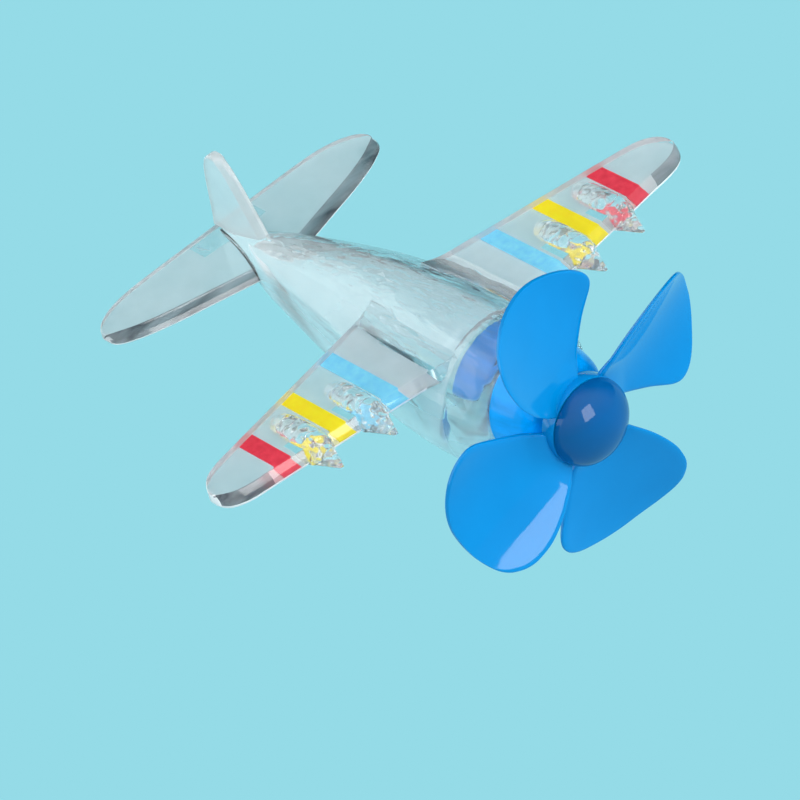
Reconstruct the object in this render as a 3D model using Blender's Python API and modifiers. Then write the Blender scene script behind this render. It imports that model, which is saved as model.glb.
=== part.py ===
"""Clear toy airplane: hollow fuselage, plate wings, blue nose cap and a free-spinning propeller.

World frame, metres: the nose points to -Y, the port wing to +X, up is +Z.
The origin is on the propeller's axis, at the middle of the toy's length.
"""
from math import cos, pi, radians, sin

import bmesh
import bpy
from mathutils import Vector

MM = 0.001
GAP = 0.3                       # clearance between pieces that touch, mm

# ---- driving dimensions, mm ----
ROUND = 56                      # facets around the fuselage
LATHE = 48                      # facets around turned pieces

NOSE_FACE = 42.2                # nose end of the fuselage, ahead of the origin
BORE_R = 12.9                   # open mouth that takes the cap's plug
WALL = 2.4                      # fuselage wall

WING_TOP = 12.2
WING_THICK = 3.7
WING_BOTTOM = WING_TOP - WING_THICK
WING_BEVEL = 1.5                # how far the leading edge stands ahead of its crease
STRIPE_THICK = 0.5

TAIL_TOP = 1.5
TAIL_THICK = 2.6
FIN_HALF = 1.5

INNER_NACELLE_X = 33.4
OUTER_NACELLE_X = 48.0
OUTER_NACELLE_SHIFT = 2.4       # the outer engines sit further back with the swept edge

PROP_TIP_R = 40.0
PROP_PHASE = 17.5               # rest angle of the first blade above the port side, degrees
HUB_R = 10.6
HUB_BACK = 55.6
HUB_FRONT = 59.6
DOME_APEX = 67.2
PIN_R = 1.0
RUNNING = 0.07                  # radial clearance of what turns on the pin
PLUG_R = BORE_R - 0.1           # the cap's plug slides in the fuselage mouth
PIN_HOLE = PIN_R + RUNNING

# outline of the fuselage: distance behind the origin, radius, drop of the section's centre
FUSELAGE = (
    (66.3, 0.9, 0.0), (66.0, 1.4, 0.0), (65.0, 1.75, 0.0), (61.0, 2.5, 0.1), (57.0, 3.4, 0.3),
    (53.0, 4.6, 0.6), (49.5, 5.9, 0.9), (45.7, 7.3, 1.1), (41.0, 8.7, 1.2), (35.5, 10.0, 1.2),
    (29.5, 11.4, 1.2), (22.5, 13.0, 1.3), (15.0, 14.6, 1.4), (7.5, 16.1, 1.8), (0.0, 17.3, 2.2),
    (-7.5, 18.3, 2.7), (-15.0, 19.0, 3.1), (-22.0, 19.4, 3.4), (-29.5, 19.4, 3.4),
    (-35.5, 19.0, 3.2), (-38.5, 18.3, 2.8), (-40.6, 17.2, 2.1), (-41.8, 15.7, 1.2),
    (-42.2, 14.6, 0.5),
)

WING_ROOT_X = 8.0
# leading and trailing corners of the rounded wing tip: span station, rear edge, front crease
WING_TIP = ((61.0, -8.7, -22.2), (64.0, -9.2, -21.9), (66.6, -9.8, -21.5), (68.8, -10.6, -20.9),
            (70.6, -11.7, -20.0), (72.0, -13.1, -18.9), (73.0, -14.7, -17.6), (73.4, -16.1, -16.3))
TAIL_TIP = ((26.0, 67.1, 50.6), (30.0, 66.9, 51.8), (33.5, 66.4, 53.0), (36.6, 65.6, 54.2),
            (39.2, 64.5, 55.5), (41.4, 63.1, 56.9), (42.9, 61.5, 58.3), (43.6, 60.2, 59.5))

# fin: height, front edge, rear edge
FIN = ((2.1, 46.2, 67.2), (6.0, 47.9, 66.5), (11.0, 50.0, 65.9), (16.0, 52.1, 65.3),
       (20.0, 54.0, 64.6), (22.8, 55.8, 63.6), (24.4, 57.6, 62.4), (25.0, 59.1, 61.0))

STRIPES = (("blue", 23.7, 28.3), ("yellow", 38.3, 42.6), ("red", 53.5, 58.0))

# nacelle: distance behind the origin, half width, top, bottom
NACELLE = ((-12.2, 1.4, 12.7, 9.0), (-12.7, 2.4, 13.3, 9.0), (-13.8, 3.3, 13.9, 9.0),
           (-15.6, 3.9, 14.4, 9.0), (-18.0, 4.1, 14.7, 9.0), (-22.0, 4.1, 14.7, 9.0),
           (-25.6, 4.0, 14.4, 8.8), (-27.6, 3.7, 13.8, 8.6), (-28.4, 3.1, 13.0, 8.5),
           (-29.2, 2.7, 12.3, 8.5), (-31.0, 1.9, 11.2, 8.5), (-32.9, 1.1, 10.1, 8.5),
           (-34.0, 0.55, 9.5, 8.5), (-34.4, 0.3, 9.2, 8.6))

# blade: radius, trailing edge angle, leading edge angle (degrees), thickness
BLADE = ((9.4, -29.5, 32.0, 1.7), (11.0, -31.3, 34.0, 1.8), (13.0, -33.4, 33.1, 1.75),
         (16.0, -35.9, 32.1, 1.7), (20.0, -37.7, 30.8, 1.65), (24.0, -38.8, 28.8, 1.6),
         (28.0, -40.0, 26.5, 1.5), (31.0, -40.4, 24.2, 1.45), (33.5, -39.2, 22.1, 1.4),
         (35.5, -35.7, 19.8, 1.35), (37.0, -30.2, 17.5, 1.3), (38.2, -22.8, 15.2, 1.2),
         (39.1, -16.5, 12.0, 1.1), (39.6, -11.5, 7.6, 1.0), (39.8, -8.0, 4.0, 0.9))
BLADE_STEPS = 14
BLADE_SEAT = -56.4              # the blade's middle line at mid radius
BLADE_PITCH = 0.36              # how fast a blade leans forward towards its leading edge
BLADE_CUP = 0.0155              # how deeply a blade is cupped, per mm
BLADE_CONE = 0.038              # how far the blades lean back towards the tips

CLEAR = (0.70, 0.88, 0.91)
BLUE = (0.0, 0.33, 0.88)


# ---- scene and collections ----
for old in list(bpy.data.objects):
    bpy.data.objects.remove(old, do_unlink=True)

parts = bpy.data.collections.new("toy_airplane")
tools = bpy.data.collections.new("cutters")
bpy.context.scene.collection.children.link(parts)
bpy.context.scene.collection.children.link(tools)


def material(name, colour, roughness, metallic=0.0, transmission=0.0):
    mat = bpy.data.materials.new(name)
    mat.use_nodes = True
    shader = mat.node_tree.nodes["Principled BSDF"]
    shader.inputs["Base Color"].default_value = (*colour, 1.0)
    shader.inputs["Roughness"].default_value = roughness
    shader.inputs["Metallic"].default_value = metallic
    shader.inputs["Transmission Weight"].default_value = transmission
    mat.diffuse_color = (*colour, 0.35 if transmission else 1.0)
    return mat


def add(name, mesh, mat=None, cutter=False):
    obj = bpy.data.objects.new(name, mesh)
    if cutter:
        tools.objects.link(obj)
        obj.hide_render = True
        obj.display_type = "WIRE"
    else:
        parts.objects.link(obj)
        mesh.materials.append(mat)
    return obj


def smooth(obj, angle=32.0):
    obj.data.shade_smooth()
    obj.data.set_sharp_from_angle(angle=radians(angle))
    return obj


def loft(name, rings):
    """Closed skin over rings of equal point count, both ends capped."""
    bm = bmesh.new()
    rows = [[bm.verts.new(Vector(p) * MM) for p in ring] for ring in rings]
    count = len(rows[0])
    for near, far in zip(rows, rows[1:]):
        for i in range(count):
            j = (i + 1) % count
            bm.faces.new((near[i], near[j], far[j], far[i]))
    bm.faces.new(rows[0])
    bm.faces.new(rows[-1])
    bmesh.ops.recalc_face_normals(bm, faces=bm.faces)
    mesh = bpy.data.meshes.new(name)
    bm.to_mesh(mesh)
    bm.free()
    return mesh


def turned(name, profile, mat=None, closed=True, cutter=False, steps=LATHE):
    """Piece of revolution about the propeller's axis from (radius, distance ahead) points."""
    bm = bmesh.new()
    verts = [bm.verts.new((r * MM, 0.0, h * MM)) for r, h in profile]
    for a, b in zip(verts, verts[1:]):
        bm.edges.new((a, b))
    if closed:
        bm.edges.new((verts[-1], verts[0]))
    mesh = bpy.data.meshes.new(name)
    bm.to_mesh(mesh)
    bm.free()
    obj = add(name, mesh, mat, cutter)
    obj.rotation_euler = (pi / 2, 0.0, 0.0)
    screw = obj.modifiers.new("turn", "SCREW")
    screw.axis = "Z"
    screw.angle = 2 * pi
    screw.steps = steps
    screw.render_steps = steps
    screw.use_merge_vertices = True
    screw.merge_threshold = 0.000001
    screw.use_smooth_shade = True
    return obj


def bake(obj):
    """Turn an object's modifiers into plain mesh in place."""
    graph = bpy.context.evaluated_depsgraph_get()
    mesh = bpy.data.meshes.new_from_object(obj.evaluated_get(graph))
    obj.modifiers.clear()
    obj.data = mesh
    return obj


def boolean(obj, tool, operation="DIFFERENCE"):
    mod = obj.modifiers.new(operation.lower(), "BOOLEAN")
    mod.operation = operation
    mod.solver = "EXACT"
    mod.object = tool
    return mod


def circle(y, radius, drop, count=ROUND):
    return [(radius * cos(2 * pi * i / count), y, radius * sin(2 * pi * i / count) - drop)
            for i in range(count)]


# ---- materials, one per piece or kind of piece ----
def clear(name):
    return material(name, CLEAR, 0.06, transmission=0.9)


STRIPE_COLOURS = {"blue": (0.14, 0.62, 0.86), "yellow": (0.96, 0.72, 0.0), "red": (0.68, 0.03, 0.05)}


# ---- fuselage ----
def mix(a, b, t):
    return a + (b - a) * t


def fuselage_at(y):
    """Radius and drop of the outer skin at a distance behind the origin."""
    for (y0, r0, d0), (y1, r1, d1) in zip(FUSELAGE, FUSELAGE[1:]):
        if y1 <= y <= y0:
            t = (y0 - y) / (y0 - y1)
            return mix(r0, r1, t), mix(d0, d1, t)
    raise ValueError(y)


def fuselage_rings():
    outer = [circle(*station) for station in FUSELAGE]
    mouth = [circle(-NOSE_FACE, BORE_R + 0.6, 0.0), circle(-NOSE_FACE + 0.6, BORE_R, 0.0),
             circle(-29.4, BORE_R, 0.0)]
    inner = []
    for y, shrink in ((-27.6, 1.6), (-25.0, 0.5), (-21.0, 0.0), (-15.0, 0.0), (-7.5, 0.0), (0.0, 0.0),
                      (7.5, 0.0), (15.0, 0.0), (22.5, 0.0), (29.5, 0.0), (35.5, 0.0), (41.0, 0.1),
                      (45.0, 0.6), (48.0, 1.5), (49.6, 2.6)):
        radius, drop = fuselage_at(y)
        inner.append(circle(y, radius - WALL - shrink, drop))
    return outer + mouth + inner


shell = smooth(add("fuselage_shell", loft("fuselage_shell", fuselage_rings()), clear("clear_fuselage")))

clearance_rings = [circle(FUSELAGE[0][0] + GAP, FUSELAGE[0][1] + GAP, 0.0)]
clearance_rings += [circle(y, r + GAP * 1.05, d) for y, r, d in FUSELAGE[1:-1]]
clearance_rings += [circle(FUSELAGE[-1][0] - GAP, FUSELAGE[-1][1] + GAP, FUSELAGE[-1][2])]
body_clearance = add("fuselage_clearance", loft("fuselage_clearance", clearance_rings), cutter=True)


# ---- wings ----
def wing_edges(x):
    """Rear edge and front crease of the wing at a span station."""
    rear = 1.7 - 0.17 * x
    crease = -30.1 + 0.13 * x - 0.16 * max(0.0, 19.0 - x)
    return rear, crease


def plate_ring(x, rear, crease, top, bottom, bevel, swell=0.0):
    """Cross-section of a plate with a bevelled leading edge, front to the left."""
    depth = top - bottom
    edge = min(0.35, (rear - crease) * 0.12)
    return [(x, rear - edge, bottom), (x, rear, bottom + edge), (x, rear, top - edge),
            (x, rear - edge, top + swell), (x, (rear + crease) / 2, top + swell),
            (x, crease + edge * 0.5, top + swell), (x, crease - edge * 0.6, top - edge * 0.9),
            (x, crease - bevel, bottom + depth * 0.2), (x, crease - bevel * 0.8, bottom)]


def wing_rings(side, grow=0.0):
    rings = []
    for x, swell in ((WING_ROOT_X, 1.5), (11.5, 1.4), (12.6, 1.0), (13.6, 0.45), (14.8, 0.0),
                     (19.0, 0.0), (30.0, 0.0), (42.0, 0.0), (54.0, 0.0)):
        rear, crease = wing_edges(x)
        rings.append((x, rear, crease, swell))
    rings += [(x, rear, crease, 0.0) for x, rear, crease in WING_TIP]
    result = []
    last = len(rings) - 1
    for k, (x, rear, crease, swell) in enumerate(rings):
        thin = 1.0 if k == last else 0.45 if k == last - 1 else 0.15 if k == last - 2 else 0.0
        top = WING_TOP - 0.8 * thin + grow
        bottom = WING_BOTTOM + 0.7 * thin - grow
        bevel = WING_BEVEL * (1.0 - 0.6 * thin) + grow
        result.append(plate_ring(side * x, rear + grow, crease, top, bottom, bevel, swell))
    return result


def stripe_outline(x1, x2, inset):
    corners = []
    for x in (x1, x2):
        rear, crease = wing_edges(x)
        corners.append((x, crease - WING_BEVEL + inset, rear - inset))
    return corners


def slab(name, side, x1, x2, z1, z2, inset, mat=None, cutter=False):
    (xa, fa, ra), (xb, fb, rb) = stripe_outline(x1, x2, inset)
    low = [(side * xa, fa, z1), (side * xb, fb, z1), (side * xb, rb, z1), (side * xa, ra, z1)]
    high = [(x, y, z2) for x, y, _ in low]
    return add(name, loft(name, [low, high]), mat, cutter)


def nacelle_rings(x0, shift, shrink=0.0, count=13):
    rings = []
    for y, half, top, bottom in NACELLE:
        ring = []
        for i in range(count):
            t = pi * i / (count - 1)
            rise = sin(t) ** 0.85 if 0 < i < count - 1 else 0.0
            ring.append((x0 + half * cos(t), y + shift, bottom + (top - bottom) * rise))
        rings.append(ring)
    return rings


def pocket_rings(x0, shift, count=11):
    """Hollow under the nacelle, open towards the wing."""
    rings = []
    for y, half, top in ((-15.4, 1.9, 13.0), (-16.2, 2.4, 13.4), (-18.4, 2.8, 13.7),
                         (-21.8, 2.8, 13.7), (-23.6, 2.5, 13.4), (-24.3, 1.9, 13.0)):
        ring = []
        for i in range(count):
            t = pi * i / (count - 1)
            rise = sin(t) ** 0.85 if 0 < i < count - 1 else 0.0
            ring.append((x0 + half * cos(t), y + shift, 8.0 + (top - 8.0) * rise))
        rings.append(ring)
    return rings


def build_side(word, side):
    wing = add(word + "_wing", loft(word + "_wing", wing_rings(side)), clear("clear_" + word + "_wing"))
    boolean(wing, body_clearance)
    for colour, x1, x2 in STRIPES:
        pocket = slab("_".join((word, colour, "pocket")), side, x1 - GAP, x2 + GAP,
                      WING_BOTTOM - 1.0, WING_BOTTOM + STRIPE_THICK + GAP, -3.0, cutter=True)
        boolean(wing, pocket)
        paint = material("_".join((word, colour, "stripe")), STRIPE_COLOURS[colour], 0.35)
        slab("_".join((word, colour, "stripe")), side, x1, x2,
             WING_BOTTOM, WING_BOTTOM + STRIPE_THICK, 0.45, paint)

    wing_clear = add(word + "_wing_clearance",
                     loft(word + "_wing_clearance", wing_rings(side, GAP)), cutter=True)
    for place, x0, shift in (("inner", INNER_NACELLE_X, 0.0),
                             ("outer", OUTER_NACELLE_X, OUTER_NACELLE_SHIFT)):
        name = "_".join((word, place, "nacelle"))
        body = add(name, loft(name, nacelle_rings(side * x0, shift)), clear("clear_" + name))
        boolean(body, wing_clear)
        pocket = add(name + "_pocket", loft(name + "_pocket", pocket_rings(side * x0, shift)),
                     cutter=True)
        boolean(body, pocket)
        smooth(body, 38.0)

    panel = tail_panel(word, side)
    boolean(panel, body_clearance)
    smooth(wing, 25.0)
    smooth(panel, 25.0)


def tail_panel(word, side):
    stations = []
    for x in (0.6, 10.0, 20.0):
        stations.append((x, 67.2, 43.6 + 0.27 * x))
    stations += list(TAIL_TIP)
    rings = []
    last = len(stations) - 1
    for k, (x, rear, crease) in enumerate(stations):
        thin = 1.0 if k == last else 0.4 if k == last - 1 else 0.1 if k == last - 2 else 0.0
        rings.append(plate_ring(side * x, rear, crease, TAIL_TOP - 0.6 * thin,
                                TAIL_TOP - TAIL_THICK + 0.6 * thin, 1.9 * (1.0 - 0.6 * thin)))
    name = word + "_tailplane"
    return add(name, loft(name, rings), clear("clear_" + name))


build_side("port", 1)
build_side("starboard", -1)


# ---- fin ----
def fin_rings():
    rings = []
    last = len(FIN) - 1
    for k, (z, front, rear) in enumerate(FIN):
        half = FIN_HALF * (0.5 if k == last else 0.8 if k == last - 1 else 1.0)
        bevel = min(2.2, (rear - front) * 0.3)
        rings.append([(half, rear - 0.4, z), (half, front + bevel, z), (half * 0.35, front, z),
                      (-half * 0.35, front, z), (-half, front + bevel, z), (-half, rear - 0.4, z),
                      (-half * 0.7, rear, z), (half * 0.7, rear, z)])
    return rings


fin = add("tail_fin", loft("tail_fin", fin_rings()), clear("clear_tail_fin"))
boolean(fin, body_clearance)
smooth(fin, 25.0)


# ---- nose cap ----
blue_cap = material("blue_nose_cap", BLUE, 0.12)
cap_profile = [
    (3.4, 54.2), (3.6, 53.5), (8.4, 53.5), (9.8, 53.3), (11.1, 52.7), (12.1, 51.7), (12.8, 50.3),
    (13.4, 48.0), (13.9, 45.6), (14.3, 43.6), (14.3, 42.9), (13.9, 42.5),
    (PLUG_R, 42.5), (PLUG_R, 31.1), (PLUG_R - 0.5, 30.5),
    (10.9, 30.5), (10.9, 44.5), (10.6, 47.5), (9.8, 50.0), (8.6, 51.3), (3.6, 51.3), (3.4, 49.0),
    (PIN_HOLE, 49.0), (PIN_HOLE, 54.2),
]
turned("nose_cap", cap_profile, blue_cap)

# ---- axle ----
steel = material("steel_pin", (0.62, 0.63, 0.65), 0.28, metallic=1.0)
pin_profile = [(0.0, 59.9), (PIN_R - 0.25, 59.9), (PIN_R, 59.6), (PIN_R, 48.7), (2.2, 48.7),
               (2.3, 48.5), (2.3, 47.9), (2.0, 47.6), (0.0, 47.6)]
turned("axle_pin", pin_profile, steel, closed=False, steps=32)

washer_profile = [(3.2, 55.2), (3.2, 54.5), (PIN_HOLE, 54.5), (PIN_HOLE, 55.2)]
turned("spacer_washer", washer_profile, material("brass_washer", (0.72, 0.52, 0.2), 0.3, metallic=1.0),
       steps=32)

collar_profile = [(2.3, 58.8), (2.5, 58.6), (2.5, 57.8), (PIN_HOLE, 57.8), (PIN_HOLE, 58.8)]
turned("retaining_collar", collar_profile, material("steel_collar", (0.55, 0.56, 0.58), 0.3, metallic=1.0),
       steps=32)

# ---- propeller ----
blue_prop = material("blue_propeller", BLUE, 0.14)
hub_profile = [(10.35, HUB_FRONT), (HUB_R, HUB_FRONT - 0.25), (HUB_R, HUB_BACK + 0.5),
               (HUB_R - 0.5, HUB_BACK), (PIN_HOLE, HUB_BACK), (PIN_HOLE, 57.4),
               (8.0, 57.4), (8.0, HUB_FRONT)]
propeller = turned("propeller", hub_profile, blue_prop)
bake(propeller)
propeller.data.materials.clear()
propeller.data.materials.append(blue_prop)


def blade_point(r, angle, y):
    return (r * cos(angle), y, r * sin(angle))


def blade_depth(across, along):
    """Place of the cupped, pitched blade along the axis; the root is drawn in to the hub."""
    y = BLADE_SEAT - BLADE_PITCH * across - BLADE_CUP * across ** 2 + BLADE_CONE * (along - 25.0)
    radius = (across ** 2 + along ** 2) ** 0.5
    freedom = mix(0.45, 1.0, min(1.0, max(0.0, (radius - 9.0) / 6.0)))
    hub_middle = -(HUB_BACK + HUB_FRONT) / 2
    return mix(hub_middle, y, freedom)


def blade_rings(middle):
    rings = []
    for r, a0, a1, thick in BLADE:
        front, back = [], []
        for k in range(BLADE_STEPS + 1):
            s = k / BLADE_STEPS
            turn = radians(mix(a0, a1, s))
            angle = radians(middle) + turn
            y = blade_depth(r * sin(turn), r * cos(turn))
            half = thick / 2 * (0.35 + 0.65 * min(1.0, 7 * s, 7 * (1 - s)))
            front.append(blade_point(r, angle, y - half))
            back.append(blade_point(r, angle, y + half))
        rings.append(front + back[::-1])
    return rings


for number in range(4):
    name = "blade_%d" % (number + 1)
    blade = add(name, loft(name, blade_rings(PROP_PHASE + 90.0 * number)), cutter=True)
    boolean(propeller, blade, "UNION")
smooth(propeller, 35.0)

# ---- spinner dome ----
dome_profile = [(0.0, DOME_APEX)]
DOME_BASE = HUB_FRONT + GAP
for step in range(1, 13):
    t = step / 12 * pi / 2
    dome_profile.append((HUB_R * sin(t), DOME_BASE + (DOME_APEX - DOME_BASE) * cos(t)))
dome_profile += [(7.7, DOME_BASE), (7.7, 57.9), (6.4, 57.9), (6.4, 60.8), (5.6, 62.8), (3.6, 64.4),
                 (0.0, 64.9)]
turned("spinner_dome", dome_profile, material("blue_spinner", (0.0, 0.22, 0.66), 0.05), closed=False)
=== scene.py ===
"""Looks of the clear toy airplane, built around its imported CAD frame."""
from math import cos, pi, radians, sin, sqrt

import bmesh
import bpy
from mathutils import Matrix, Vector


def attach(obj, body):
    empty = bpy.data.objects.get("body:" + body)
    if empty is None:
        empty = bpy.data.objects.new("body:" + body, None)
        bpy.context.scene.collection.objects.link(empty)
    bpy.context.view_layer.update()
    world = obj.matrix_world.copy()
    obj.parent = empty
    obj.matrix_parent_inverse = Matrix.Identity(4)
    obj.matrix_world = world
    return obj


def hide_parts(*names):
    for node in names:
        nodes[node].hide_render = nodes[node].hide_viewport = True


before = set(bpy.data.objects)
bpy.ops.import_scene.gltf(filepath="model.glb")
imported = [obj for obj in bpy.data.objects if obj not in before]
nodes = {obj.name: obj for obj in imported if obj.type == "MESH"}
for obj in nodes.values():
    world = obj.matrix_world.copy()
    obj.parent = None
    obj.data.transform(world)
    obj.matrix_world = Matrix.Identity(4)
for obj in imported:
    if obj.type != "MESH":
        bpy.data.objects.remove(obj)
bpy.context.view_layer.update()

MM = 0.001
scene = bpy.context.scene

# ---- camera: seen from ahead, above and to starboard, rolled a little ----
AZIMUTH = radians(-34.02)
ELEVATION = radians(38.28)
ROLL = radians(-15.01)
DISTANCE = 1302 * MM
TARGET = Vector((0.0, -14.25, 11.7)) * MM
AIM_RIGHT = -9.107 * MM         # where the lens points, across and up from the target
AIM_UP = -20.55 * MM
LENS = 257.98


def make_camera():
    """Camera on its orbit round the target, aimed a little off it and rolled."""
    right = Vector((cos(AZIMUTH), sin(AZIMUTH), 0.0))
    back = Vector((sin(AZIMUTH) * cos(ELEVATION), -cos(AZIMUTH) * cos(ELEVATION), sin(ELEVATION)))
    up = back.cross(right)
    across = right * cos(ROLL) + up * sin(ROLL)
    rise = up * cos(ROLL) - right * sin(ROLL)
    place = TARGET + back * DISTANCE
    aim = TARGET + across * AIM_RIGHT + rise * AIM_UP
    z_axis = (place - aim).normalized()
    x_axis = rise.cross(z_axis).normalized()
    y_axis = z_axis.cross(x_axis)
    data = bpy.data.cameras.new("camera")
    data.lens = LENS
    data.sensor_width = 36.0
    data.clip_start = 0.05
    data.clip_end = 60.0
    camera = bpy.data.objects.new("camera", data)
    scene.collection.objects.link(camera)
    turn = Matrix((x_axis, y_axis, z_axis)).transposed().to_4x4()
    camera.matrix_world = Matrix.Translation(place) @ turn
    scene.camera = camera


make_camera()
scene.view_settings.view_transform = "Standard"

# ---- floor, world and lights ----
FLOOR_COLOUR = (0.300, 0.708, 0.799)
FLOOR_Z = -2.2                  # far below, so that views from underneath stay clear
FLOOR_SIZE = 60.0
ZENITH_COLOUR = (0.95, 0.97, 1.0)
# height from nadir 0 to zenith 1, and the colour of the studio there
WORLD_BANDS = ((0.42, (0.32, 0.70, 0.79)), (0.49, (0.42, 0.62, 0.68)), (0.56, (0.44, 0.58, 0.63)),
               (0.66, (0.66, 0.74, 0.78)), (0.80, (0.85, 0.90, 0.94)))
WORLD_STRENGTH = 1.0
WORLD_FILL = 0.55               # how much of it lights matt surfaces
# a dark wall behind and to port: its direction, where it starts and is full, its brightness
DARK_WALL = Vector((0.74, 0.60, 0.22)).normalized()
DARK_EDGE = (0.25, 0.70)
DARK_LEVEL = 0.03


def link(tree, source, target):
    """Wire one socket of a node tree to another."""
    tree.links.new(source, target)


def ranged(tree, source, low, high, start=0.3, end=0.7):
    """Source between start and end, spread over low to high."""
    node = tree.nodes.new("ShaderNodeMapRange")
    node.inputs["From Min"].default_value = start
    node.inputs["From Max"].default_value = end
    node.inputs["To Min"].default_value = low
    node.inputs["To Max"].default_value = high
    link(tree, source, node.inputs["Value"])
    return node.outputs["Result"]


def make_floor():
    """Wide, evenly lit pale floor."""
    bpy.ops.mesh.primitive_grid_add(x_subdivisions=2, y_subdivisions=2, size=FLOOR_SIZE,
                                    location=(0.0, 0.0, FLOOR_Z))
    floor = bpy.context.object
    floor.name = "floor"
    mat = bpy.data.materials.new("floor_pale_cyan")
    mat.use_nodes = True
    tree = mat.node_tree
    tree.nodes.clear()
    out = tree.nodes.new("ShaderNodeOutputMaterial")
    glow = tree.nodes.new("ShaderNodeEmission")
    glow.inputs["Color"].default_value = (*FLOOR_COLOUR, 1.0)
    link(tree, glow.outputs[0], out.inputs["Surface"])
    floor.data.materials.append(mat)


def studio_colour(tree):
    """Colour of the studio by direction: bands by height, dimmed towards the dark wall."""
    place = tree.nodes.new("ShaderNodeTexCoord")
    split = tree.nodes.new("ShaderNodeSeparateXYZ")
    link(tree, place.outputs["Generated"], split.inputs[0])
    height = tree.nodes.new("ShaderNodeMath")
    height.operation = "MULTIPLY_ADD"
    height.inputs[1].default_value = 0.5
    height.inputs[2].default_value = 0.5
    link(tree, split.outputs["Z"], height.inputs[0])
    ramp = tree.nodes.new("ShaderNodeValToRGB")
    link(tree, height.outputs[0], ramp.inputs["Fac"])
    bands = ramp.color_ramp
    bands.elements[0].position = 0.0
    bands.elements[0].color = (*FLOOR_COLOUR, 1.0)
    bands.elements[1].position = 1.0
    bands.elements[1].color = (*ZENITH_COLOUR, 1.0)
    for at, colour in WORLD_BANDS:
        stop = bands.elements.new(at)
        stop.color = (*colour, 1.0)
    wall = tree.nodes.new("ShaderNodeVectorMath")
    wall.operation = "DOT_PRODUCT"
    wall.inputs[1].default_value = DARK_WALL
    link(tree, place.outputs["Generated"], wall.inputs[0])
    soft = ranged(tree, wall.outputs["Value"], 1.0, DARK_LEVEL, *DARK_EDGE)
    shade = tree.nodes.new("ShaderNodeVectorMath")
    shade.operation = "SCALE"
    link(tree, ramp.outputs["Color"], shade.inputs[0])
    link(tree, soft, shade.inputs["Scale"])
    return shade.outputs["Vector"]


def make_world():
    """Pale studio that lights the object; the camera sees the floor's colour instead."""
    world = bpy.data.worlds.new("studio")
    scene.world = world
    world.use_nodes = True
    tree = world.node_tree
    tree.nodes.clear()
    out = tree.nodes.new("ShaderNodeOutputWorld")
    path = tree.nodes.new("ShaderNodeLightPath")
    strength = ranged(tree, path.outputs["Is Diffuse Ray"], WORLD_STRENGTH,
                      WORLD_STRENGTH * WORLD_FILL, 0.0, 1.0)
    lit = tree.nodes.new("ShaderNodeBackground")
    link(tree, studio_colour(tree), lit.inputs["Color"])
    link(tree, strength, lit.inputs["Strength"])
    seen = tree.nodes.new("ShaderNodeBackground")
    seen.inputs["Color"].default_value = (*FLOOR_COLOUR, 1.0)
    mix = tree.nodes.new("ShaderNodeMixShader")
    link(tree, path.outputs["Is Camera Ray"], mix.inputs["Fac"])
    link(tree, lit.outputs[0], mix.inputs[1])
    link(tree, seen.outputs[0], mix.inputs[2])
    link(tree, mix.outputs[0], out.inputs["Surface"])


def softbox(name, azimuth, elevation, distance, size, power, colour=(1.0, 1.0, 1.0)):
    """Rectangular light aimed at the object; azimuth 0 is ahead of the nose, 90 is to port."""
    a, e = radians(azimuth), radians(elevation)
    place = Vector((sin(a) * cos(e), -cos(a) * cos(e), sin(e))) * distance
    data = bpy.data.lights.new(name, "AREA")
    data.shape = "RECTANGLE"
    data.size, data.size_y = size
    data.energy = power
    data.color = colour
    light = bpy.data.objects.new(name, data)
    scene.collection.objects.link(light)
    light.location = place
    light.rotation_euler = (-place).to_track_quat("-Z", "Y").to_euler()
    light.visible_camera = False
    return light


def make_lights():
    """Two softboxes that show in the gloss, and two fills that only brighten."""
    softbox("nose_softbox", azimuth=-1, elevation=25, distance=1.2, size=(0.52, 0.68), power=6.5)
    softbox("side_softbox", azimuth=-146, elevation=20, distance=1.3, size=(2.8, 1.35), power=14.5,
            colour=(0.97, 1.0, 1.0))
    top_light = softbox("top_softbox", azimuth=-40, elevation=72, distance=1.3, size=(0.9, 0.7),
                        power=8.0)
    top_light.visible_glossy = False
    port_fill = softbox("port_fill", azimuth=48, elevation=4, distance=1.3, size=(0.8, 0.8), power=8.0)
    port_fill.visible_glossy = False
    port_fill.visible_transmission = False


make_floor()
make_world()
make_lights()


# ---- shapes of the moulding, mm ----
# place along the axis, radius, drop of the centre
FUSELAGE = (
    (66.3, 0.9, 0.0), (66.0, 1.4, 0.0), (65.0, 1.75, 0.0), (61.0, 2.5, 0.1), (57.0, 3.4, 0.3),
    (53.0, 4.6, 0.6), (49.5, 5.9, 0.9), (45.7, 7.3, 1.1), (41.0, 8.7, 1.2), (35.5, 10.0, 1.2),
    (29.5, 11.4, 1.2), (22.5, 13.0, 1.3), (15.0, 14.6, 1.4), (7.5, 16.1, 1.8), (0.0, 17.3, 2.2),
    (-7.5, 18.3, 2.7), (-15.0, 19.0, 3.1), (-22.0, 19.4, 3.4), (-29.5, 19.4, 3.4),
    (-35.5, 19.0, 3.2), (-38.5, 18.3, 2.8), (-40.6, 17.2, 2.1), (-41.8, 15.7, 1.2),
    (-42.2, 14.6, 0.5),
)
NOSE_FACE = 42.2
BORE_R = 12.9
WALL = 2.4
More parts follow.
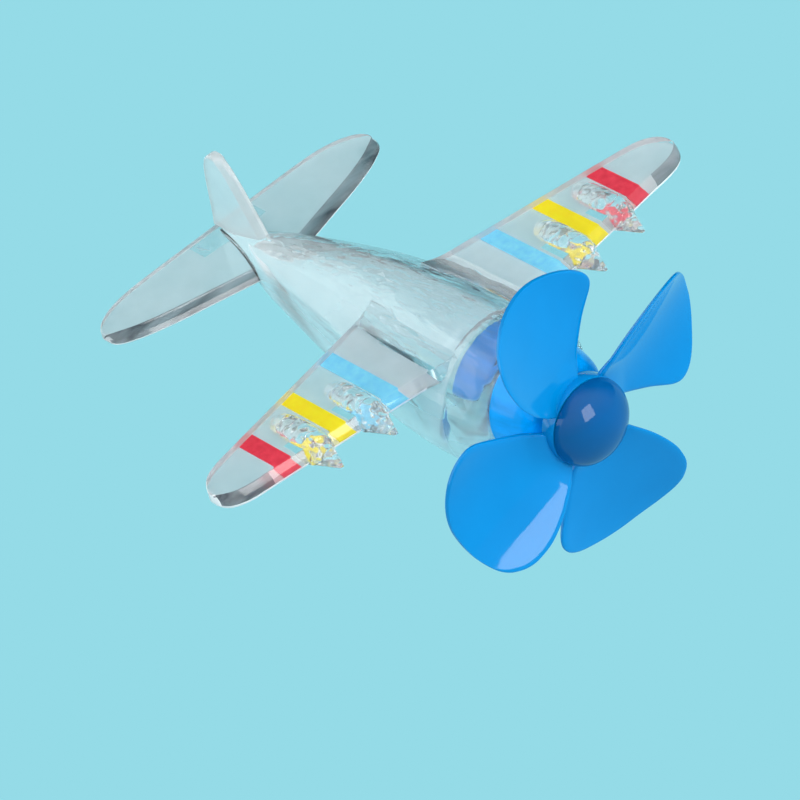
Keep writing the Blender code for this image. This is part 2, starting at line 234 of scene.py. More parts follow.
# place along the axis, and how much thicker than WALL the wall is there
HOLD = ((-27.6, 1.6), (-25.0, 0.5), (-21.0, 0.0), (-15.0, 0.0), (-7.5, 0.0), (0.0, 0.0), (7.5, 0.0),
        (15.0, 0.0), (22.5, 0.1), (29.5, 0.3), (35.5, 0.7), (41.0, 1.1), (46.0, 1.4), (50.0, 1.5),
        (52.6, 1.6), (53.8, 1.75))
WING_TOP = 12.2
WING_BOTTOM = 8.46              # a thin film of plastic under the stripes
WING_BEVEL = 1.5
WING_REAR = (1.7, -0.17)        # rear edge at the centre line, and its slope
WING_CREASE = (-30.1, 0.13)     # the same for the crease of the leading edge
WING_KNEE = (19.0, 0.16)        # inboard of here the crease is swept by this much more
WING_RINGS = (8.0, 9.0, 10.0, 11.0, 12.0, 13.0, 14.0, 15.2, 19.0, 23.5, 29.4, 37.4, 44.0, 52.0, 56.0)
ROOT_SWELL = 1.5                # how far the wing root stands up against the fuselage
SWELL_END = 15.2
SWELL_RUN = 7.2
TAIL_TOP = 1.5
TAIL_BOTTOM = -1.1
TAIL_REAR = 67.2
TAIL_CREASE = (44.4, 0.27)
TAIL_BEVEL = 2.7
CREASE_SETBACK = 0.8            # the tailplane's crease lies this far behind the tip table's
TIP_RINGS = 5.0                 # rings over which a tip thins out
HALF_ROUND = 0.85               # below 1 squares the shoulders of a half-round body
FIN_HALF = 1.5
# span station, rear edge, crease
WING_TIP = ((61.0, -8.7, -22.2), (64.0, -9.2, -21.9), (66.6, -9.8, -21.5), (68.8, -10.6, -20.9),
            (70.6, -11.7, -20.0), (72.0, -13.1, -18.9), (73.0, -14.7, -17.6), (73.4, -16.1, -16.3))
TAIL_TIP = ((26.0, 67.1, 50.6), (30.0, 66.9, 51.8), (33.5, 66.4, 53.0), (36.6, 65.6, 54.2),
            (39.2, 64.5, 55.5), (41.4, 63.1, 56.9), (42.9, 61.5, 58.3), (43.6, 60.2, 59.5))
# height, front edge, rear edge
FIN = ((2.1, 46.2, 67.2), (6.0, 47.9, 66.5), (11.0, 50.0, 65.9), (16.0, 52.1, 65.3),
       (20.0, 54.0, 64.6), (22.8, 55.8, 63.6), (24.4, 57.6, 62.4), (25.0, 59.1, 61.0))
# place along the axis, half width, top, bottom
NACELLE = ((-12.2, 1.4, 12.7, 9.0), (-12.7, 2.4, 13.3, 9.0), (-13.8, 3.3, 13.9, 9.0),
           (-15.6, 3.9, 14.4, 9.0), (-18.0, 4.1, 14.7, 9.0), (-22.0, 4.1, 14.7, 9.0),
           (-25.6, 4.0, 14.4, 8.8), (-27.6, 3.7, 13.8, 8.6), (-28.4, 3.1, 13.0, 8.5),
           (-29.2, 2.7, 12.3, 8.5), (-31.0, 1.9, 11.2, 8.5), (-32.9, 1.1, 10.1, 8.5),
           (-34.0, 0.55, 9.5, 8.5), (-34.4, 0.3, 9.2, 8.6))
POCKET = ((-15.4, 1.9, 13.0), (-16.2, 2.4, 13.4), (-18.4, 2.8, 13.7),
          (-21.8, 2.8, 13.7), (-23.6, 2.5, 13.4), (-24.3, 1.9, 13.0))
ENGINES = ((33.4, 0.0), (48.0, 2.4))   # span station, setback


def smooth_rows(rows, steps):
    """Catmull-Rom curve through table rows, sampled steps times a span."""
    result = []
    for i in range(len(rows) - 1):
        p0, p1 = rows[max(i - 1, 0)], rows[i]
        p2, p3 = rows[i + 1], rows[min(i + 2, len(rows) - 1)]
        for k in range(steps):
            t = k / steps
            result.append(tuple(
                0.5 * (2 * b + (c - a) * t + (2 * a - 5 * b + 4 * c - d) * t * t
                       + (3 * b - a - 3 * c + d) * t ** 3)
                for a, b, c, d in zip(p0, p1, p2, p3)))
    result.append(tuple(rows[-1]))
    return result


def solid(name, rings):
    """Closed skin over rings of equal point count, in millimetres."""
    bm = bmesh.new()
    rows = [[bm.verts.new(Vector(p) * MM) for p in ring] for ring in rings]
    count = len(rows[0])
    for near, far in zip(rows, rows[1:]):
        for i in range(count):
            j = (i + 1) % count
            bm.faces.new((near[i], near[j], far[j], far[i]))
    bm.faces.new(rows[0])
    bm.faces.new(rows[-1])
    bmesh.ops.recalc_face_normals(bm, faces=bm.faces)
    mesh = bpy.data.meshes.new(name)
    bm.to_mesh(mesh)
    bm.free()
    obj = bpy.data.objects.new(name, mesh)
    scene.collection.objects.link(obj)
    return obj


def circle(y, radius, drop, count=96):
    """Ring around the fuselage's axis."""
    return [(radius * cos(2 * pi * i / count), y, radius * sin(2 * pi * i / count) - drop)
            for i in range(count)]


SKIN = smooth_rows(FUSELAGE, 3)


def skin_at(y):
    """Radius and drop of the fuselage's skin; 0 beyond its ends."""
    for (y0, r0, d0), (y1, r1, d1) in zip(SKIN, SKIN[1:]):
        if y1 <= y <= y0:
            t = (y0 - y) / max(y0 - y1, 1e-9)
            return r0 + (r1 - r0) * t, d0 + (d1 - d0) * t
    return 0.0, 0.0


def hollow_rings():
    """The hold inside the fuselage and its mouth, out past the nose."""
    rings = [circle(-NOSE_FACE - 1.0, BORE_R + 1.6, 0.0), circle(-NOSE_FACE, BORE_R + 0.6, 0.0),
             circle(-NOSE_FACE + 0.6, BORE_R, 0.0), circle(-29.4, BORE_R, 0.0)]
    for y, shrink in smooth_rows(HOLD, 3):
        radius, drop = skin_at(y)
        rings.append(circle(y, radius - WALL - shrink, drop))
    return rings


def arc(cy, cz, radius, start, end, count):
    """Points of a circular arc between two angles in degrees."""
    return [(cy + radius * cos(radians(start + (end - start) * k / (count - 1))),
             cz + radius * sin(radians(start + (end - start) * k / (count - 1))))
            for k in range(count)]


def plate_section(x, rear, crease, top, bottom, bevel):
    """Plate section with rounded rear edge, soft crease and a bevelled, slightly full front."""
    chord = rear - crease
    r = max(0.05, min(0.5, (top - bottom) * 0.3, chord * 0.2))
    front = crease - bevel
    outline = arc(rear - r, bottom + r, r, -90, 0, 4) + arc(rear - r, top - r, r, 0, 90, 4)
    outline += [(rear - chord * 0.3, top), (rear - chord * 0.6, top)]
    soft = min(0.45, chord * 0.15)
    outline += [(crease + soft, top), (crease + soft * 0.3, top - 0.03), (crease - soft * 0.15, top - 0.16),
                (crease - soft * 0.5, top - 0.45 * min(1.0, top - bottom))]
    low = bottom + (top - bottom) * 0.2
    outline += [((crease + front) / 2 - bevel * 0.22, (top + low) / 2), (front, low + 0.1),
                (front + 0.05, low - 0.2), (front + 0.22, bottom + 0.12), (front + 0.5, bottom)]
    outline += [(rear - chord * 0.6, bottom), (rear - chord * 0.3, bottom)]
    return [(x, y, z) for y, z in outline]


def tip_shrink(k, last):
    """How much of the thickness is lost over the last rings of a tip."""
    t = max(0.0, 1.0 - (last - k) / TIP_RINGS)
    return 1.0 - (1.0 - t * t) ** 0.5 if t < 1.0 else 1.0


def panel_rings(side, roots, tip, top, bottom, bevel, swell=None):
    """Rings of one wing or tailplane from root to rounded tip."""
    rows = roots + smooth_rows(tip, 2)
    rings = []
    last = len(rows) - 1
    for k, (x, rear, crease) in enumerate(rows):
        lost = tip_shrink(k, last) * (top - bottom) * 0.42
        rise = swell(x) if swell else 0.0
        rings.append(plate_section(side * x, rear, crease, top - lost + rise, bottom + lost * 0.8,
                                   bevel * (1.0 - 0.6 * tip_shrink(k, last))))
    return rings


def tailplane_rings():
    """Rings of the whole tailplane from tip to tip."""
    roots = [(x, TAIL_REAR, TAIL_CREASE[0] + TAIL_CREASE[1] * x) for x in (0.0, 10.0, 20.0)]
    tip = [(x, rear, crease + CREASE_SETBACK * min(1.0, (rear - crease) / 8.0))
           for x, rear, crease in TAIL_TIP]
    port = panel_rings(1, roots, tip, TAIL_TOP, TAIL_BOTTOM, TAIL_BEVEL)
    starboard = panel_rings(-1, roots, tip, TAIL_TOP, TAIL_BOTTOM, TAIL_BEVEL)
    return starboard[:0:-1] + port


def wing_swell(x):
    """Rise of the wing's top where it runs into the fuselage."""
    return ROOT_SWELL * max(0.0, (SWELL_END - x) / SWELL_RUN) ** 2


def wing_roots():
    """Rows of the wing from root to where the tip curve starts."""
    knee, sweep = WING_KNEE
    return [(x, WING_REAR[0] + WING_REAR[1] * x,
             WING_CREASE[0] + WING_CREASE[1] * x - sweep * max(0.0, knee - x)) for x in WING_RINGS]


def half_round_rings(rows, x0, shift, count=25, base=None):
    """Rings of a body with a flat bottom and a rounded top, such as a nacelle."""
    rings = []
    for row in rows:
        y, half, top = row[:3]
        low = base if base is not None else row[3]
        ring = []
        for i in range(count):
            t = pi * i / (count - 1)
            rise = sin(t) ** HALF_ROUND if 0 < i < count - 1 else 0.0
            ring.append((x0 + half * cos(t), y + shift, low + (top - low) * rise))
        rings.append(ring)
    return rings


def fin_rings():
    """Level rings of the upright fin, with a blunt bevelled front."""
    rings = []
    rows = smooth_rows(FIN, 3)
    last = len(rows) - 1
    for k, (z, front, rear) in enumerate(rows):
        half = FIN_HALF * (1.0 - 0.55 * tip_shrink(k, last))
        bevel = min(2.2, (rear - front) * 0.3)
        rings.append([(half, rear - 0.5, z), (half, front + bevel + 0.4, z),
                      (half * 0.97, front + bevel, z), (half * 0.45, front + 0.3, z),
                      (half * 0.2, front, z), (-half * 0.2, front, z), (-half * 0.45, front + 0.3, z),
                      (-half * 0.97, front + bevel, z), (-half, front + bevel + 0.4, z),
                      (-half, rear - 0.5, z), (-half * 0.85, rear - 0.15, z), (-half * 0.5, rear, z),
                      (half * 0.5, rear, z), (half * 0.85, rear - 0.15, z)])
    return rings


def combine(base, tool, operation):
    """Add the tool to the base or cut it out, and delete the tool."""
    mod = base.modifiers.new("combine", "BOOLEAN")
    mod.operation = operation
    mod.solver = "EXACT"
    mod.object = tool
    graph = bpy.context.evaluated_depsgraph_get()
    mesh = bpy.data.meshes.new_from_object(base.evaluated_get(graph))
    base.modifiers.clear()
    old = base.data
    base.data = mesh
    bpy.data.meshes.remove(old)
    bpy.data.objects.remove(tool, do_unlink=True)


def make_airframe():
    """The whole clear moulding as one closed skin, as it comes out of the mould."""
    body = solid("clear_airframe", [circle(*row) for row in SKIN])
    for side in (1, -1):
        rings = panel_rings(side, wing_roots(), WING_TIP, WING_TOP, WING_BOTTOM, WING_BEVEL, wing_swell)
        combine(body, solid("wing", rings), "UNION")
        for x0, shift in ENGINES:
            rows = smooth_rows(NACELLE, 2)
            combine(body, solid("pod", half_round_rings(rows, side * x0, shift)), "UNION")
    combine(body, solid("tailplane", tailplane_rings()), "UNION")
    combine(body, solid("fin", fin_rings()), "UNION")
    combine(body, solid("hollow", hollow_rings()), "DIFFERENCE")
    for side in (1, -1):
        for x0, shift in ENGINES:
            rings = half_round_rings(smooth_rows(POCKET, 2), side * x0, shift, 21, WING_TOP)
            combine(body, solid("pocket", rings), "DIFFERENCE")
    return body


# ---- turned and bladed pieces, mm: radius and distance ahead along the axis ----
HUB_R = 10.6
HUB_BACK = 55.6
HUB_FRONT = 59.6
DOME_BASE = 59.9
DOME_APEX = 67.2
PIN_HOLE = 1.07
PLUG_R = 12.8
CAP = (
    (3.4, 54.2), (3.6, 53.5), (8.4, 53.5), (9.2, 53.42), (9.8, 53.3), (10.5, 53.05), (11.1, 52.7),
    (11.65, 52.25), (12.1, 51.7), (12.5, 51.05), (12.8, 50.3), (13.12, 49.2), (13.4, 48.0),
    (13.67, 46.8), (13.9, 45.6), (14.12, 44.6), (14.3, 43.6), (14.3, 42.9), (14.2, 42.6), (13.9, 42.5),
    (PLUG_R, 42.5), (PLUG_R, 31.1), (PLUG_R - 0.15, 30.7), (PLUG_R - 0.5, 30.5), (10.9, 30.5),
    (10.9, 44.5), (10.6, 47.5), (9.8, 50.0), (8.6, 51.3), (3.6, 51.3), (3.4, 49.0), (PIN_HOLE, 49.0),
    (PIN_HOLE, 54.2),
)
HUB = (
    (10.35, HUB_FRONT), (10.53, HUB_FRONT - 0.07), (HUB_R, HUB_FRONT - 0.25), (HUB_R, HUB_BACK + 0.5),
    (HUB_R - 0.15, HUB_BACK + 0.15), (HUB_R - 0.5, HUB_BACK), (PIN_HOLE, HUB_BACK), (PIN_HOLE, 57.4),
    (8.0, 57.4), (8.0, HUB_FRONT),
)
# radius, angle of the trailing and of the leading edge, thickness
BLADE = ((9.4, -29.5, 32.0, 1.7), (11.0, -31.3, 34.0, 1.8), (13.0, -33.4, 33.1, 1.75),
         (16.0, -35.9, 32.1, 1.7), (20.0, -37.7, 30.8, 1.65), (24.0, -38.8, 28.8, 1.6),
         (28.0, -40.0, 26.5, 1.5), (31.0, -40.4, 24.2, 1.45), (33.5, -39.2, 22.1, 1.4),
         (35.5, -35.7, 19.8, 1.35), (37.0, -30.2, 17.5, 1.3), (38.2, -22.8, 15.2, 1.2),
         (39.1, -16.5, 12.0, 1.1), (39.6, -11.5, 7.6, 1.0), (39.8, -8.0, 4.0, 0.9))
BLADE_STEPS = 40
BLADE_SEAT = -56.4              # the blade's middle line at mid radius
BLADE_PITCH = 0.36              # how fast a blade leans forward towards its leading edge
BLADE_CUP = 0.0155              # how deeply a blade is cupped, per mm
BLADE_CONE = 0.038              # how far the blades lean back towards the tips
BLADE_EDGE = 0.06               # share of the chord that rounds off at each edge
BLADE_COUNT = 4
PROP_PHASE = 17.5               # rest angle of the first blade above the port side, degrees


def lathe(name, profile, closed=True, count=128):
    """Piece of revolution about the propeller's axis; a radius of 0 closes to a point."""
    bm = bmesh.new()
    rows = []
    for r, ahead in profile:
        if r < 1e-6:
            rows.append([bm.verts.new((0.0, -ahead * MM, 0.0))])
        else:
            rows.append([bm.verts.new((r * MM * cos(2 * pi * i / count), -ahead * MM,
                                       r * MM * sin(2 * pi * i / count))) for i in range(count)])
    pairs = list(zip(rows, rows[1:])) + ([(rows[-1], rows[0])] if closed else [])
    for near, far in pairs:
        for i in range(count):
            j = (i + 1) % count
            if len(near) == 1:
                bm.faces.new((near[0], far[j], far[i]))
            elif len(far) == 1:
                bm.faces.new((near[i], near[j], far[0]))
            else:
                bm.faces.new((near[i], near[j], far[j], far[i]))
    bmesh.ops.recalc_face_normals(bm, faces=bm.faces)
    mesh = bpy.data.meshes.new(name)
    bm.to_mesh(mesh)
    bm.free()
    obj = bpy.data.objects.new(name, mesh)
    scene.collection.objects.link(obj)
    return obj


def blade_depth(across, along):
    """Place of the cupped, pitched blade along the axis; the root is drawn in to the hub."""
    y = BLADE_SEAT - BLADE_PITCH * across - BLADE_CUP * across ** 2 + BLADE_CONE * (along - 25.0)
    freedom = min(1.0, max(0.0, (sqrt(across ** 2 + along ** 2) - 9.0) / 6.0))
    freedom = 0.45 + 0.55 * freedom
    return y * freedom - (HUB_BACK + HUB_FRONT) / 2 * (1.0 - freedom)


def blade_rings(middle):
    """Blade sections with rounded edges, from the hub wall out to the tip."""
    rings = []
    for r, a0, a1, thick in smooth_rows(BLADE, 3):
        front, back = [], []
        for k in range(BLADE_STEPS + 1):
            s = (1.0 - cos(pi * k / BLADE_STEPS)) / 2
            turn = radians(a0 + (a1 - a0) * s)
            y = blade_depth(r * sin(turn), r * cos(turn))
            edge = min(1.0, s / BLADE_EDGE, (1.0 - s) / BLADE_EDGE)
            half = thick / 2 * (0.25 + 0.75 * sqrt(edge * (2.0 - edge)))
            angle = radians(middle) + turn
            front.append((r * cos(angle), y - half, r * sin(angle)))
            back.append((r * cos(angle), y + half, r * sin(angle)))
        rings.append(front + back[::-1])
    return rings


def dome_profile(count=30):
    """Dome outside, lip and hollow inside, from apex round to apex."""
    rows = [(0.0, DOME_APEX)]
    for step in range(1, count + 1):
        t = step / count * pi / 2
        rows.append((HUB_R * sin(t), DOME_BASE + (DOME_APEX - DOME_BASE) * cos(t)))
    rows += [(HUB_R - 0.25, DOME_BASE), (7.7, DOME_BASE), (7.7, 57.9), (6.4, 57.9), (6.4, 60.8),
             (5.6, 62.8), (3.6, 64.4), (0.0, 64.9)]
    rows[count] = (HUB_R, DOME_BASE + 0.25)
    return rows


# ---- materials ----
# how noise is stretched
FLAT = (1.0, 1.0, 1.0)          # not at all
SPAN = (0.12, 1.0, 1.0)         # along the span
ALONG = (1.0, 0.2, 1.0)         # along the axis


def new_material(name):
    """Material with its node tree and its shader."""
    mat = bpy.data.materials.new(name)
    mat.use_nodes = True
    return mat, mat.node_tree, mat.node_tree.nodes["Principled BSDF"]


def put(tree, kind, **inputs):
    """New node with some of its inputs set."""
    node = tree.nodes.new(kind)
    for key, value in inputs.items():
        node.inputs[key.replace("_", " ")].default_value = value
    return node


def stretched_noise(tree, stretch, scale, detail=3.0, rough=0.5):
    """Noise in object space, stretched by a factor along each axis."""
    place = tree.nodes.new("ShaderNodeTexCoord")
    mapping = tree.nodes.new("ShaderNodeMapping")
    mapping.inputs["Scale"].default_value = stretch
    link(tree, place.outputs["Object"], mapping.inputs["Vector"])
    noise = put(tree, "ShaderNodeTexNoise", Scale=scale, Detail=detail, Roughness=rough)
    link(tree, mapping.outputs[0], noise.inputs["Vector"])
    return noise


def mixed_colour(tree, factor, dark, light):
    """Colour between dark and light by a factor."""
    colour = tree.nodes.new("ShaderNodeMix")
    colour.data_type = "RGBA"
    colour.inputs["A"].default_value = (*dark, 1.0)
    colour.inputs["B"].default_value = (*light, 1.0)
    link(tree, factor, colour.inputs["Factor"])
    return colour.outputs["Result"]


def combined(tree, operation, first, second):
    """Result of a math node on two sources."""
    node = tree.nodes.new("ShaderNodeMath")
    node.operation = operation
    link(tree, first, node.inputs[0])
    link(tree, second, node.inputs[1])
    return node.outputs[0]


def add_bump(tree, shader, sources):
    """Chain of bumps from (height output, strength, distance)."""
    last = None
    for height, strength, distance in sources:
        bump = put(tree, "ShaderNodeBump", Strength=strength, Distance=distance)
        link(tree, height, bump.inputs["Height"])
        if last is not None:
            link(tree, last, bump.inputs["Normal"])
        last = bump.outputs["Normal"]
    link(tree, last, shader.inputs["Normal"])


# scales of the noise in the clear plastic, and depths of its bumps in metres
HAZE_SCALE = 45.0
STREAK_SCALE = 260.0
SINK_SCALE = 210.0
GRAIN_SCALE = 900.0
WAVE_DEPTH = 0.002
SINK_DEPTH = 0.0016
GRAIN_DEPTH = 0.0001


def facing_axes(tree):
    """Components of the surface's normal."""
    place = tree.nodes.new("ShaderNodeTexCoord")
    facing = tree.nodes.new("ShaderNodeSeparateXYZ")
    link(tree, place.outputs["Normal"], facing.inputs[0])
    return facing.outputs


def clear_plastic(name, veil, colour=(0.93, 0.975, 0.985), rough=(0.02, 0.06), wave=0.12,
                  wave_scale=60.0, stretch=(1.0, 0.35, 1.0), painted_streak_shade=None, crest=0.0):
    """Water-clear styrene.

    veil is the share of light its haze scatters, waves are moulding ripples, painted_streak_shade is a
    painted shade for the streaks along the stretch, standing for dark reflections (without it they are
    a faintly deeper tint), and crest the strength of sink marks on upward faces. With a crest the wall
    is also clearer towards port, a painted shade that darkens that side, and milkier on downward faces,
    a painted light that pales the underside.
    """
    mat, tree, shader = new_material(name)
    shader.inputs["IOR"].default_value = 1.5
    cloud = stretched_noise(tree, stretch, HAZE_SCALE, 1.5)
    streak = stretched_noise(tree, stretch, STREAK_SCALE, 3.0)
    deep = painted_streak_shade or [c * 0.96 for c in colour]
    tint = mixed_colour(tree, ranged(tree, streak.outputs["Fac"], 0.0, 1.0, 0.35, 0.65), deep, colour)
    link(tree, tint, shader.inputs["Base Color"])
    clarity = ranged(tree, cloud.outputs["Fac"], 1.0 - veil * 0.9, 1.0 - veil * 1.1)
    link(tree, ranged(tree, cloud.outputs["Fac"], *rough), shader.inputs["Roughness"])
    ripple = stretched_noise(tree, stretch, wave_scale, 1.0)
    grain = stretched_noise(tree, FLAT, GRAIN_SCALE, 2.0)
    bumps = [(ripple.outputs["Fac"], wave, WAVE_DEPTH), (grain.outputs["Fac"], 0.02, GRAIN_DEPTH)]
    if crest:
        facing = facing_axes(tree)
        sink = stretched_noise(tree, stretch, SINK_SCALE, 2.0, 0.6)
        upward = ranged(tree, facing["Z"], 0.0, 1.0, 0.80, 0.95)
        bumps.append((combined(tree, "MULTIPLY", sink.outputs["Fac"], upward), crest, SINK_DEPTH))
        # painted shade and light by facing: clearer towards port to darken the port side, milkier on
        # downward faces to pale the underside
        port = ranged(tree, facing["X"], 0.0, 0.97, -0.15, 0.30)
        belly_painted_light = ranged(tree, facing["Z"], 0.62, 1.0, -0.25, 0.25)
        clarity = combined(tree, "MULTIPLY", combined(tree, "MAXIMUM", clarity, port), belly_painted_light)
    link(tree, clarity, shader.inputs["Transmission Weight"])
    add_bump(tree, shader, bumps)
    return mat


def moulded(name, dark, light, rough=(0.1, 0.2), glow=0.0, streaks=False):
    """Glossy solid-coloured plastic with faint flow marks; glow stands for light piped by the clear body."""
    mat, tree, shader = new_material(name)
    stretch = (1.0, 0.06, 1.0) if streaks else (1.0, 0.4, 1.0)
    flow = stretched_noise(tree, stretch, 420.0 if streaks else 70.0, 3.0)
    colour = mixed_colour(tree, ranged(tree, flow.outputs["Fac"], 0.0, 1.0), dark, light)
    link(tree, colour, shader.inputs["Base Color"])
    link(tree, ranged(tree, flow.outputs["Fac"], *rough), shader.inputs["Roughness"])
    link(tree, colour, shader.inputs["Emission Color"])
    shader.inputs["Emission Strength"].default_value = glow
    shader.inputs["Specular IOR Level"].default_value = 0.32
    grain = stretched_noise(tree, FLAT, 1400.0, 2.0)
    add_bump(tree, shader, ((flow.outputs["Fac"], 0.04, 0.0006), (grain.outputs["Fac"], 0.03, 0.00005)))
    return mat


STRIPE_GLOW = 0.26


def printed(name, dark, light):
    """Stripe colour, slightly mottled; its glow stands for light piped by the clear wing."""
    mat, tree, shader = new_material(name)
    mottle = stretched_noise(tree, FLAT, 500.0, 3.0)
    colour = mixed_colour(tree, ranged(tree, mottle.outputs["Fac"], 0.0, 1.0), dark, light)
    link(tree, colour, shader.inputs["Base Color"])
    link(tree, colour, shader.inputs["Emission Color"])
    shader.inputs["Emission Strength"].default_value = STRIPE_GLOW
    link(tree, ranged(tree, mottle.outputs["Fac"], 0.3, 0.45), shader.inputs["Roughness"])
    shader.inputs["Specular IOR Level"].default_value = 0.2
    add_bump(tree, shader, ((mottle.outputs["Fac"], 0.05, 0.0001),))
    return mat


def metal(name, dark, light, rough):
    """Metal with fine lines across the propeller's axis."""
    mat, tree, shader = new_material(name)
    lines = stretched_noise(tree, (1.0, 12.0, 1.0), 400.0, 2.0)
    colour = mixed_colour(tree, ranged(tree, lines.outputs["Fac"], 0.0, 1.0), dark, light)
    link(tree, colour, shader.inputs["Base Color"])
    link(tree, ranged(tree, lines.outputs["Fac"], *rough), shader.inputs["Roughness"])
    shader.inputs["Metallic"].default_value = 1.0
    add_bump(tree, shader, ((lines.outputs["Fac"], 0.08, 0.00005),))
    return mat


def dress(obj, mats, angle):
    """Materials and smooth shading, sharp where faces meet at more than the angle in degrees."""
    mesh = obj.data
    mesh.materials.clear()
    for mat in mats:
        mesh.materials.append(mat)
    mesh.shade_smooth()
    mesh.set_sharp_from_angle(angle=radians(angle))


# ---- the clear moulding ----
PLATE, UNDER, BODY, INNER, EDGE, RIM, FINNED, POD, NOSE, ROOT = range(10)
# where one kind of surface ends and the next starts, mm
SKIN_NOSE = -31.5               # the skin ahead of here is the nose's
HOLD_NOSE = -29.0
HOLD_END = 54.0
FAIRING_END = SWELL_END + 0.1
ROOT_END = 23.0
TIP_START = 58.6
FIN_REACH = 2.2                 # sideways and up from the axis
POD_FRONT = -31.8               # ahead of the wing's front, at the centre line
ENGINE_HALF = 3.2               # half the width that belongs to an engine
ENGINE_RUN = (-40.0, -12.0)


def airframe_finishes():
    """Clear plastics in the order of the kinds of surface."""
    return [
        clear_plastic("clear_plate", veil=0.015, wave=0.03, stretch=FLAT),
        clear_plastic("clear_underside", veil=0.55, rough=(0.14, 0.22), wave=0.04, stretch=FLAT),
        clear_plastic("clear_body", veil=0.26, rough=(0.03, 0.07), wave=0.16, wave_scale=70.0,
                      crest=0.7),
        clear_plastic("clear_hold", veil=0.10, wave=0.3, wave_scale=90.0),
        # painted shade: the bevelled leading edges get a dark grey tint and near-black streaks standing for
        # the dark reflections in the bevels
        clear_plastic("clear_edge", veil=0.07, colour=(0.34, 0.40, 0.43), rough=(0.05, 0.16),
                      wave=0.16, wave_scale=120.0, stretch=SPAN, painted_streak_shade=(0.02, 0.03, 0.04)),
        # painted light: the milky pinkish white of the rims stands for the light caught along the plates'
        # edges
        clear_plastic("clear_rim", veil=0.80, colour=(1.0, 0.95, 0.955), rough=(0.1, 0.2),
                      wave=0.2, wave_scale=200.0, stretch=FLAT),
        clear_plastic("clear_fin", veil=0.46, rough=(0.04, 0.10), wave=0.10, stretch=FLAT),
        clear_plastic("clear_nacelle", veil=0.10, rough=(0.02, 0.05), wave=1.0, wave_scale=330.0,
                      stretch=FLAT),
        clear_plastic("clear_nose", veil=0.06, rough=(0.02, 0.05), wave=0.30, wave_scale=240.0,
                      stretch=ALONG, crest=0.5),
        # painted light: the root underside is milkier and whiter than the rest, paling it where it lies in
        # shade under the fuselage
        clear_plastic("clear_root", veil=0.66, colour=(0.97, 0.99, 1.0), rough=(0.14, 0.22),
                      wave=0.04, stretch=FLAT),
    ]


def near_engine(away):
    """Whether a span station belongs to an engine."""
    return any(abs(away - x0) < ENGINE_HALF for x0, shift in ENGINES)


def surface_kind(at, n):
    """Kind of surface of a face of the moulding, from its centre in mm and its normal."""
    away = abs(at.x)
    radius, drop = skin_at(at.y)
    reach = sqrt(at.x ** 2 + (at.z + drop) ** 2)
    on_skin = radius and abs(reach - radius) < 0.2
    on_fairing = away < FAIRING_END and at.y < 5.0 and n.z > 0.3
    engine = near_engine(away)
    if on_skin or on_fairing:
        return NOSE if at.y < SKIN_NOSE else BODY
    if radius and reach < radius - 1.0 and at.y < HOLD_END:
        return NOSE if at.y < HOLD_NOSE else INNER
    if away < FIN_REACH and at.z > FIN_REACH:
        return FINNED
    if at.z > WING_TOP + 0.05 and away > 15.5 or at.y < POD_FRONT + WING_CREASE[1] * away:
        return POD
    if engine and ENGINE_RUN[0] < at.y < ENGINE_RUN[1] and -0.5 < n.z < 0.99:
        return POD
    if n.z < -0.9:
        if engine and at.y < -16.0:
            return PLATE
        return ROOT if away < ROOT_END and at.y < 10.0 else UNDER
    if n.y > 0.35:
        return RIM
    if n.y < -0.25 and n.z > 0.1 and (at.y > 40.0 or away > TIP_START):
        return EDGE
    if n.y < -0.25 and n.z < 0.1 or away > TIP_START and abs(n.z) < 0.6:
        return RIM
    return PLATE


airframe = make_airframe()
dress(airframe, airframe_finishes(), 30.0)
for face in airframe.data.polygons:
    face.material_index = surface_kind(face.center / MM, face.normal)
weigh = airframe.modifiers.new("even_shading", "WEIGHTED_NORMAL")
weigh.keep_sharp = True
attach(airframe, "airframe")
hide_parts("fuselage_shell", "port_wing", "starboard_wing", "port_tailplane",
            "starboard_tailplane", "tail_fin", "port_inner_nacelle", "port_outer_nacelle",
            "starboard_inner_nacelle", "starboard_outer_nacelle")


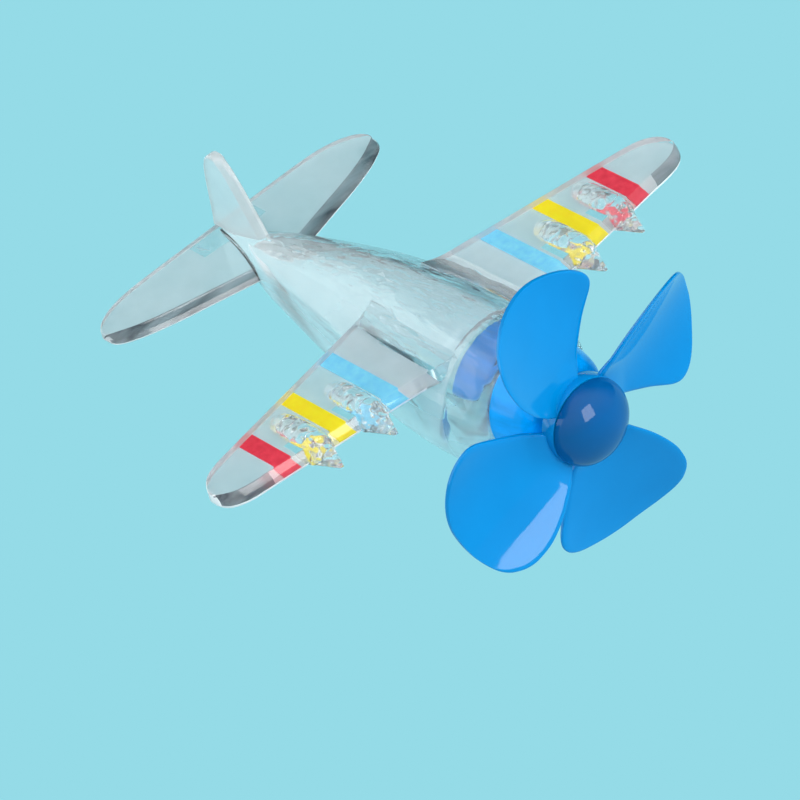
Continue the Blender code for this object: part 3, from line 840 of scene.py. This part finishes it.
# ---- nose cap, propeller and spinner dome ----
def make_cap():
    """Blue stopper with its plug, streaked inside the clear nose."""
    cap = lathe("cap_moulding", CAP)
    plastic = moulded("blue_cap_plastic", dark=(0.0, 0.25, 0.64), light=(0.0, 0.33, 0.84),
                      rough=(0.08, 0.16), glow=0.32, streaks=True)
    dress(cap, [plastic], 28.0)
    return cap


def make_propeller():
    """Hub with four cupped blades in one moulding."""
    prop = lathe("propeller_moulding", HUB)
    for number in range(BLADE_COUNT):
        middle = PROP_PHASE + 360.0 / BLADE_COUNT * number
        combine(prop, solid("blade", blade_rings(middle)), "UNION")
    plastic = moulded("blue_plastic", dark=(0.0, 0.218, 0.56), light=(0.0, 0.236, 0.60),
                      rough=(0.04, 0.08))
    dress(prop, [plastic], 38.0)
    return prop


def make_dome():
    """Glossy dark blue dome over the hub."""
    dome = lathe("spinner_moulding", dome_profile(), closed=False)
    plastic = moulded("blue_spinner", dark=(0.0, 0.080, 0.25), light=(0.0, 0.092, 0.31),
                      rough=(0.03, 0.06))
    dress(dome, [plastic], 35.0)
    return dome


cap = make_cap()
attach(cap, "nose_cap_unit")
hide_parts("nose_cap")
prop = make_propeller()
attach(prop, "propeller_unit")
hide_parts("propeller")
dome = make_dome()
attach(dome, "propeller_unit")
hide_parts("spinner_dome")


# ---- the frame's own stripes and metal pieces ----
def frame_finishes():
    """Material for each of the frame's nodes that stay."""
    paint = {"blue": printed("stripe_blue", dark=(0.18, 0.62, 0.88), light=(0.24, 0.72, 0.96)),
             "yellow": printed("stripe_yellow", dark=(0.97, 0.74, 0.0), light=(1.0, 0.82, 0.0)),
             "red": printed("stripe_red", dark=(0.76, 0.02, 0.05), light=(0.88, 0.04, 0.08))}
    steel = metal("drawn_steel", dark=(0.50, 0.51, 0.53), light=(0.66, 0.67, 0.69), rough=(0.2, 0.35))
    brass = metal("stamped_brass", dark=(0.62, 0.44, 0.16), light=(0.76, 0.56, 0.24), rough=(0.2, 0.3))
    finishes = {"axle_pin": steel, "retaining_collar": steel, "spacer_washer": brass}
    for side in ("port", "starboard"):
        for word, mat in paint.items():
            finishes["%s_%s_stripe" % (side, word)] = mat
    return finishes


for name, mat in frame_finishes().items():
    for slot in nodes[name].material_slots:
        slot.material = mat
